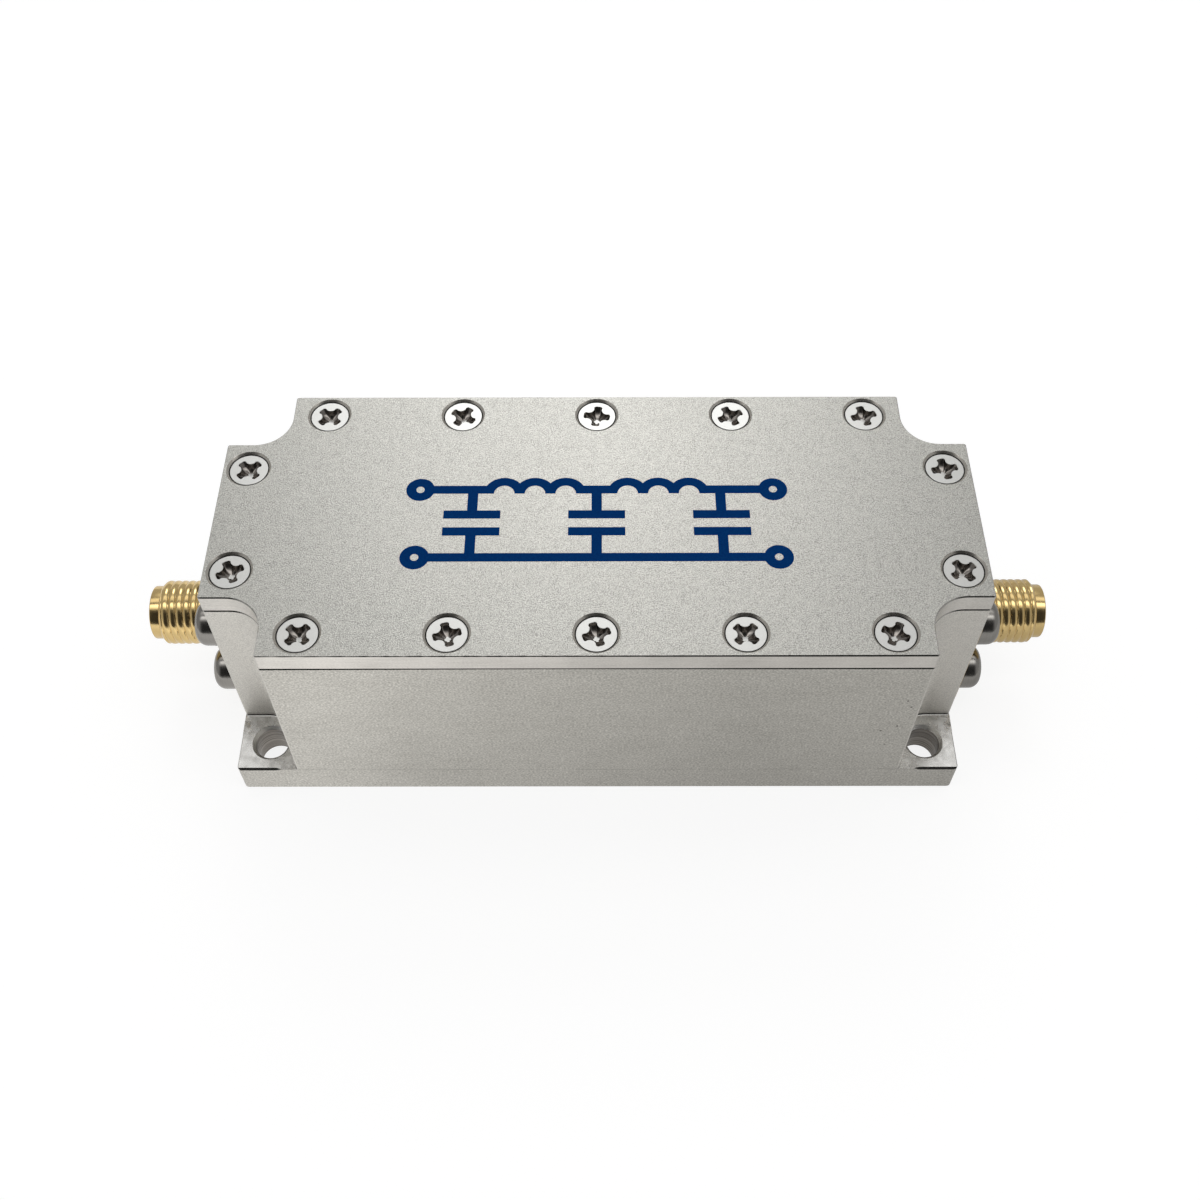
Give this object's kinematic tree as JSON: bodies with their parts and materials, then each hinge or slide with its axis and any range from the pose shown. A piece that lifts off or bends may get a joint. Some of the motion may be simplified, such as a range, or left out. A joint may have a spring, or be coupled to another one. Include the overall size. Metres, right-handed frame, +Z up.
{
  "type": "coaxial low-pass filter",
  "caption": "Radio-frequency low-pass filter in a milled aluminium housing with a screwed lid, mounting ears and a threaded coaxial jack at each end.",
  "frame": {"origin": "on the base plane, under the middle of the housing", "axes": "+X along the jacks towards the output, +Y to the back, +Z up through the lid"},
  "size_m": [0.0882, 0.03, 0.024],
  "materials": {
    "milled_aluminium": "milled, clear passivated, satin",
    "blasted_aluminium": null,
    "bright_screw_steel": "nickel-plated steel, bright",
    "dark_screw_steel": "plain stainless steel, smooth",
    "gold_plating": "gold plating on turned brass, polished",
    "contact_gold": "gold plating on beryllium copper",
    "white_ptfe": "turned PTFE, waxy white",
    "board_laminate": "glass-fibre laminate with green solder resist",
    "tinned_copper": "tinned copper",
    "copper_wire": "enamelled round copper wire",
    "chip_ceramic": "sintered ceramic with tinned ends",
    "shield_brass": "bare brass sheet"
  },
  "bodies": {
    "root": {"housing": "milled_aluminium", "lid": "blasted_aluminium", "lid_screws": "bright_screw_steel", "input_jack_shell": "gold_plating", "input_insulator": "white_ptfe", "input_contact": "contact_gold", "input_flange_screws": "dark_screw_steel", "output_jack_shell": "gold_plating", "output_insulator": "white_ptfe", "output_contact": "contact_gold", "output_flange_screws": "dark_screw_steel", "circuit_board": "board_laminate", "copper_tracks": "tinned_copper", "board_screws": "bright_screw_steel", "coil_1": "copper_wire", "coil_2": "copper_wire", "coil_3": "copper_wire", "coil_4": "copper_wire", "capacitor_1": "chip_ceramic", "capacitor_2": "chip_ceramic", "capacitor_3": "chip_ceramic", "capacitor_4": "chip_ceramic", "capacitor_5": "chip_ceramic", "shield_wall_1": "shield_brass", "shield_wall_2": "shield_brass", "shield_wall_3": "shield_brass"}
  },
  "joints": []
}
